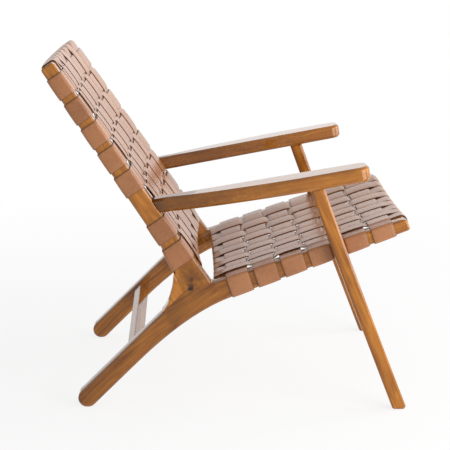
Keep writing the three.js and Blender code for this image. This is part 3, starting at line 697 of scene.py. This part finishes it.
def strap_mesh(name, columns, leather, tone):
    """A strap through columns of points: each column is one line along the strap."""
    rows = len(columns[0])
    shape = bmesh.new()
    uv = shape.loops.layers.uv.new("strap")
    bmesh.ops.create_grid(
        shape, x_segments=rows - 1, y_segments=len(columns) - 1, size=0.5, calc_uvs=True)
    middle = columns[len(columns) // 2]
    runs = [0.0]
    for start, end in zip(middle, middle[1:]):
        runs.append(runs[-1] + (end - start).length)
    for face in shape.faces:
        face.smooth = True
        for loop in face.loops:
            row = round((loop.vert.co.x + 0.5) * (rows - 1))
            share = loop.vert.co.y
            loop[uv].uv = (runs[row], share * leather.width)
    for vertex in shape.verts:
        row = round((vertex.co.x + 0.5) * (rows - 1))
        column = round((vertex.co.y + 0.5) * (len(columns) - 1))
        vertex.co = columns[column][row]
    bmesh.ops.recalc_face_normals(shape, faces=shape.faces)
    mesh = bpy.data.meshes.new(name)
    shape.to_mesh(mesh)
    shape.free()
    tones = mesh.attributes.new("tone", "FLOAT", "POINT")
    tones.data.foreach_set("value", [tone] * len(mesh.vertices))
    return mesh


def strap_modifiers(piece, leather):
    shell = piece.modifiers.new("thickness", "SOLIDIFY")
    shell.thickness = leather.thickness
    shell.offset = 0.0
    shell.use_even_offset = True
    shell.material_offset_rim = 1
    edge = piece.modifiers.new("edge", "BEVEL")
    edge.width = leather.thickness * 0.3
    edge.segments = 2
    edge.limit_method = "ANGLE"
    edge.angle_limit = math.radians(60)
    edge.harden_normals = False


def crossings_of(places, is_over):
    return [(place, is_over(i)) for i, place in enumerate(places)]


def make_warp(node, panel, across, rails, wefts, is_over, leather, tone):
    columns = []
    crossings = crossings_of(wefts, is_over)
    base = strap_path(
        rail_skin(panel, rails[0], 1), crossings, rail_skin(panel, rails[1], -1), leather)
    for share in STRAP_SHARES:
        lifted = offset_path(base, leather.crown * (1 - 4 * share * share))
        place = across + share * leather.width
        columns.append([panel.point(point.x, place, point.y) for point in lifted])
    return strap_mesh(node + "_leather", columns, leather, tone)


def make_weft(node, panel, weft, is_over, leather, tone, short):
    low = STRAP_GAP + leather.thickness / 2
    columns = []
    levels = crossing_levels(leather, -leather.settle, 0.0)
    crossings = crossings_of(warp_places(leather), is_over)
    for share in STRAP_SHARES:
        distance = weft + share * leather.width
        if short:
            base = short_run(crossings, levels, leather)
        else:
            climb = INNER_HALF + SIDE_CLIMB
            depth = panel.side_depth(distance)
            start = offset_path(side_skin(depth, -1), low)[:-1]
            end = offset_path(side_skin(depth, 1)[::-1], low)[1:]
            rise, fall = Vector((-climb, low)), Vector((climb, low))
            base = [*start, rise, *woven_run(rise, crossings, levels, fall, leather), fall, *end]
        lifted = offset_path(base, leather.crown * (1 - 4 * share * share))
        columns.append([panel.point(distance, point.x, point.y) for point in lifted])
    return strap_mesh(node + "_leather", columns, leather, tone)


def short_run(crossings, levels, leather):
    """The run of the strap that ends beside the stiles."""
    start = Vector((crossings[0][0] - leather.width, 0.0))
    run = woven_run(start, crossings, levels, None, leather)
    limit = INNER_HALF - STRAP_GAP
    return [point for point in run if abs(point.x) <= limit]


# Operators

def settings():
    scene = bpy.context.scene
    return scene.chair_wood, scene.chair_leather, scene.chair_studio


def honey_wood():
    wood = settings()[0]
    material = bpy.data.materials.get("honey_wood_grain")
    return material or wood_material("honey_wood_grain", wood.light, wood.dark)


def leather_pair():
    leather = settings()[1]
    face = bpy.data.materials.get("saddle_leather")
    edge = bpy.data.materials.get("strap_cut_edge")
    return (face or leather_material("saddle_leather", leather.tan, leather.deep_tan),
            edge or cut_edge_material("strap_cut_edge", leather.cut_edge))


def dress_wood(node, material, slot, line, side=Vector((0, 1, 0)), cuts=(), joints=(),
               easing=None):
    wood = settings()[0]
    mesh = eased_copy(node, easing or wood.easing, wood.easing_steps, cuts, joints)
    grain_attribute(mesh, line, side)
    piece = finish_piece(node + "_eased", mesh, [material], slot, node)
    weighted_normals(piece)
    return piece


class CHAIR_OT_side_frames(bpy.types.Operator):
    """Rounds the rear legs with their side rails, the back stiles and the corner blocks"""
    bl_idname = "chair.side_frames"
    bl_label = "Side Frames"

    def execute(self, context):
        honey = honey_wood()
        wood = settings()[0]
        pale = (wood.light, wood.dark)
        legs = {
            "right": wood_material("leg_wood_grain_right", wood.leg_light, wood.leg_dark,
                                   knots_and_shade=KNOTS[:1], pale_end=pale),
            "left": wood_material("leg_wood_grain_left", wood.light, wood.leg_dark, pale_end=pale)}
        knotty = wood_material("knotty_wood_grain", wood.light, wood.dark, knots_and_shade=KNOTS)
        joints = joint_lines()
        leg_line = heading(LEG_ANGLE)
        rail_line = heading(RAIL_ANGLE)
        foot = Vector((0.0, 0.0192))
        bend_start = foot + leg_line * 0.150
        bend_end = HEEL + rail_line * 0.06 - turned_left(rail_line) * 0.020
        control = HEEL - rail_line * 0.025 - turned_left(rail_line) * 0.022
        nose = HEEL + rail_line * RAIL_LENGTH - turned_left(rail_line) * 0.013
        spine = [foot, *quadratic(bend_start, control, bend_end, 8), nose]
        cuts = []
        for start, end in zip(spine, spine[1:]):
            pieces = max(1, round((end - start).length / 0.02))
            for i in range(pieces):
                spot = start.lerp(end, i / pieces)
                direction = (end - start).normalized()
                cuts.append((side_point(spot), Vector((direction.x, 0, direction.y))))
        for side in ("left", "right"):
            dress_wood("rear_leg_and_side_rail_" + side, legs[side], "dark_wood",
                       [side_point(spot) for spot in spine], cuts=cuts, joints=joints)
            dress_wood("back_stile_" + side, knotty if side == "right" else honey, "honey_wood",
                       [side_point(STILE_TOP), side_point(HEEL)], joints=joints)
            dress_wood("corner_block_" + side, honey, "honey_wood",
                       [side_point(STILE_TOP), side_point(HEEL)], joints=joints)
        return {"FINISHED"}


class CHAIR_OT_front_legs(bpy.types.Operator):
    """Rounds the two front legs"""
    bl_idname = "chair.front_legs"
    bl_label = "Front Legs"

    def execute(self, context):
        honey = honey_wood()
        for side in ("left", "right"):
            low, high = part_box("front_leg_" + side)
            dress_wood("front_leg_" + side, honey, "honey_wood",
                       [Vector((high[0], low[1], low[2])), Vector((low[0], low[1], high[2]))])
        return {"FINISHED"}


class CHAIR_OT_armrests(bpy.types.Operator):
    """Rounds the two armrests"""
    bl_idname = "chair.armrests"
    bl_label = "Armrests"

    def execute(self, context):
        wood = settings()[0]
        # The armrests' wood carries painted shade that darkens it towards their rear.
        shaded_arm_wood = wood_material("arm_grain_with_painted_shade", wood.arm_light, wood.arm_dark, knots_and_shade=ARM_REAR_PAINTED_SHADE)
        for side in ("left", "right"):
            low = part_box("armrest_" + side)[0]
            start = Vector((low[0], 0.0, low[2]))
            direction = Vector((math.cos(ARM_ANGLE), 0.0, math.sin(ARM_ANGLE)))
            sign = 1 if side == "left" else -1
            start.y = sign * 0.25
            end = start + direction * 0.45 + Vector((0, sign * 0.04, 0))
            dress_wood("armrest_" + side, shaded_arm_wood, "honey_wood", [start, end], easing=wood.arm_easing)
        return {"FINISHED"}


class CHAIR_OT_cross_rails(bpy.types.Operator):
    """Rounds the four rails of the seat and the back, and the rear stretcher"""
    bl_idname = "chair.cross_rails"
    bl_label = "Cross Rails"

    def execute(self, context):
        wood = settings()[0]
        honey = honey_wood()
        leg = wood_material("leg_wood_grain", wood.leg_light, wood.leg_dark)
        woods = {"seat_rear_rail": honey, "seat_front_rail": honey, "back_top_rail": honey,
                 "back_bottom_rail": honey, "rear_stretcher": leg}
        for node, material in woods.items():
            low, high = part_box(node)
            middle = Vector(((low[0] + high[0]) / 2, 0, (low[2] + high[2]) / 2))
            line = [middle + Vector((0, -0.25, 0)), middle + Vector((0, 0.25, 0))]
            slot = "dark_wood" if node == "rear_stretcher" else "honey_wood"
            dress_wood(node, material, slot, line, side=Vector((0, 0, 1)))
        return {"FINISHED"}


class CHAIR_OT_fasteners(bpy.types.Operator):
    """Gives the dowels their wood and the bolts their zinc"""
    bl_idname = "chair.fasteners"
    bl_label = "Dowels and Bolts"

    def execute(self, context):
        zinc = zinc_material("zinc_plate")
        wood = settings()[0]
        dowel = wood_material("dowel_wood", wood.light, wood.dark, has_grain=False)
        for name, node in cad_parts.items():
            if "dowel" in name or "bolt" in name:
                material = zinc if "bolt" in name else dowel
                if not node.material_slots:
                    raise RuntimeError(f"{name} has no material slot")
                for slot in node.material_slots:
                    slot.material = material
        return {"FINISHED"}


class StrapPanel:
    """What the straps of one panel share."""

    def make(self, name, panel, rails, wefts, warp_is_over, short):
        leather = settings()[1]
        materials = leather_pair()
        for i, across in enumerate(warp_places(leather)):
            node = f"{name}_warp_strap_{i + 1}"
            mesh = make_warp(node, panel, across, rails, wefts,
                             lambda j, i=i: warp_is_over(i, j), leather, (0.618 * (i + 1)) % 1)
            self.add(node, mesh, materials, leather)
        for j, weft in enumerate(wefts):
            node = f"{name}_weft_strap_{j + 1}"
            mesh = make_weft(node, panel, weft, lambda i, j=j: not warp_is_over(i, j), leather,
                             (0.382 * (j + 2)) % 1, j == short)
            self.add(node, mesh, materials, leather)

    def add(self, node, mesh, materials, leather):
        piece = finish_piece(node + "_leather", mesh, materials, "tan_leather", node)
        strap_modifiers(piece, leather)


class CHAIR_OT_seat_straps(StrapPanel, bpy.types.Operator):
    """Weaves the leather straps of the seat"""
    bl_idname = "chair.seat_straps"
    bl_label = "Seat Straps"

    def execute(self, context):
        self.make("seat", SEAT, (SEAT_REAR_RAIL, SEAT_FRONT_RAIL), SEAT_WEFTS,
                  lambda i, j: (i + j) % 2 == 0, None)
        return {"FINISHED"}


class CHAIR_OT_back_straps(StrapPanel, bpy.types.Operator):
    """Weaves the leather straps of the back"""
    bl_idname = "chair.back_straps"
    bl_label = "Back Straps"

    def execute(self, context):
        self.make("back", BACK, (BACK_TOP_RAIL, BACK_BOTTOM_RAIL), BACK_WEFTS,
                  lambda i, j: (i + j) % 2 == 1, ARM_SLOT)
        return {"FINISHED"}


def area_lamp(name, power, size, spot, target):
    lamp = bpy.data.lights.new(name, "AREA")
    lamp.shape = "RECTANGLE"
    lamp.size, lamp.size_y = size
    lamp.energy = power
    piece = bpy.data.objects.new(name, lamp)
    bpy.context.collection.objects.link(piece)
    piece.location = spot
    piece.rotation_euler = (Vector(target) - Vector(spot)).to_track_quat("-Z", "Y").to_euler()
    piece.visible_camera = False


def seen_by_camera(tree):
    """Whether the camera sees a point directly, in a reflection or through something."""
    path = add_node(tree, "ShaderNodeLightPath")
    seen = maths(tree, "MAXIMUM", path.outputs["Is Camera Ray"], path.outputs["Is Glossy Ray"])
    return maths(tree, "MAXIMUM", seen, path.outputs["Is Transmission Ray"])


def white_to_camera(tree, surface, strength):
    """Mixes a surface with plain white for what the camera sees of it."""
    share = maths(tree, "MULTIPLY", seen_by_camera(tree), strength)
    white = add_node(tree, "ShaderNodeEmission", {"Color": (1, 1, 1, 1), "Strength": 1.0})
    mix = add_node(tree, "ShaderNodeMixShader", {
        0: share, 1: surface, 2: white.outputs["Emission"]})
    return mix.outputs["Shader"]


class CHAIR_OT_studio(bpy.types.Operator):
    """Sets up the camera, the floor, the lamps and the white surroundings"""
    bl_idname = "chair.studio"
    bl_label = "Studio"

    def execute(self, context):
        studio = settings()[2]
        scene = context.scene
        scene.view_settings.view_transform = "Standard"

        camera_data = bpy.data.cameras.new("camera")
        camera_data.sensor_width = CAMERA_SENSOR
        camera_data.lens = CAMERA_LENS
        camera = bpy.data.objects.new("camera", camera_data)
        scene.collection.objects.link(camera)
        camera.location = CAMERA_PLACE
        camera.rotation_euler = (
            Matrix.Rotation(math.radians(CAMERA_YAW), 4, "Z")
            @ Matrix.Rotation(math.radians(90 - CAMERA_PITCH), 4, "X")
            @ Matrix.Rotation(math.radians(CAMERA_ROLL), 4, "Z")).to_euler()
        scene.camera = camera

        shape = bmesh.new()
        bmesh.ops.create_circle(shape, cap_ends=True, segments=96, radius=6.0)
        floor_mesh = bpy.data.meshes.new("floor")
        shape.to_mesh(floor_mesh)
        shape.free()
        floor = bpy.data.objects.new("floor", floor_mesh)
        scene.collection.objects.link(floor)
        material, tree, shader = new_material("pale_floor")
        shader.inputs["Base Color"].default_value = (*studio.floor, 1.0)
        shader.inputs["Roughness"].default_value = 0.8
        spot = add_node(tree, "ShaderNodeTexCoord").outputs["Object"]
        reach = add_node(tree, "ShaderNodeVectorMath", {0: spot}, operation="LENGTH")
        fade = mapped_range(tree, reach.outputs["Value"], 0.7, 2.0, 0.82, 1.0)
        surface = white_to_camera(tree, shader.outputs["BSDF"], fade)
        output = next(node for node in tree.nodes if node.type == "OUTPUT_MATERIAL")
        tree.links.new(surface, output.inputs["Surface"])
        floor_mesh.materials.append(material)

        world = bpy.data.worlds.new("studio")
        world.use_nodes = True
        nodes = world.node_tree
        nodes.nodes.clear()
        strength = mapped_range(nodes, seen_by_camera(nodes), 0.0, 1.0, studio.world, 1.0)
        sky = add_node(nodes, "ShaderNodeBackground", {"Color": (1, 1, 1, 1), "Strength": strength})
        end = add_node(nodes, "ShaderNodeOutputWorld")
        nodes.links.new(sky.outputs["Background"], end.inputs["Surface"])
        scene.world = world

        area_lamp("key_lamp", studio.key, (1.8, 1.6), (2.0, -1.8, 0.95), (0.0, 0.0, 0.35))
        area_lamp("rear_lamp", studio.rear, (2.6, 0.8), (0.9, 3.2, 1.35), (0.0, 0.0, 0.5))
        area_lamp("front_lamp", studio.front, (1.8, 1.8), (2.6, 0.3, 1.3), (0.0, 0.0, 0.5))
        return {"FINISHED"}


class CHAIR_PT_panel(bpy.types.Panel):
    """Lists the chair's pieces and their settings"""
    bl_label = "Woven Lounge Chair"
    bl_idname = "CHAIR_PT_panel"
    bl_space_type = "VIEW_3D"
    bl_region_type = "UI"
    bl_category = "Chair"

    def draw(self, context):
        layout = self.layout
        for group in settings():
            box = layout.box()
            for key in group.__annotations__:
                box.prop(group, key)
        for operator in OPERATORS:
            layout.operator(operator.bl_idname)


GROUPS = {"chair_wood": ChairWood, "chair_leather": ChairLeather, "chair_studio": ChairStudio}
OPERATORS = (
    CHAIR_OT_side_frames, CHAIR_OT_front_legs, CHAIR_OT_armrests, CHAIR_OT_cross_rails,
    CHAIR_OT_fasteners, CHAIR_OT_seat_straps, CHAIR_OT_back_straps, CHAIR_OT_studio)


def register():
    for kind in (*GROUPS.values(), *OPERATORS, CHAIR_PT_panel):
        bpy.utils.register_class(kind)
    for name, kind in GROUPS.items():
        setattr(bpy.types.Scene, name, PointerProperty(type=kind))


def unregister():
    for name in GROUPS:
        delattr(bpy.types.Scene, name)
    for kind in reversed((*GROUPS.values(), *OPERATORS, CHAIR_PT_panel)):
        bpy.utils.unregister_class(kind)


def main():
    register()
    bpy.ops.chair.side_frames()
    bpy.ops.chair.front_legs()
    bpy.ops.chair.armrests()
    bpy.ops.chair.cross_rails()
    bpy.ops.chair.fasteners()
    bpy.ops.chair.seat_straps()
    bpy.ops.chair.back_straps()
    bpy.ops.chair.studio()


if __name__ == "__main__":
    main()
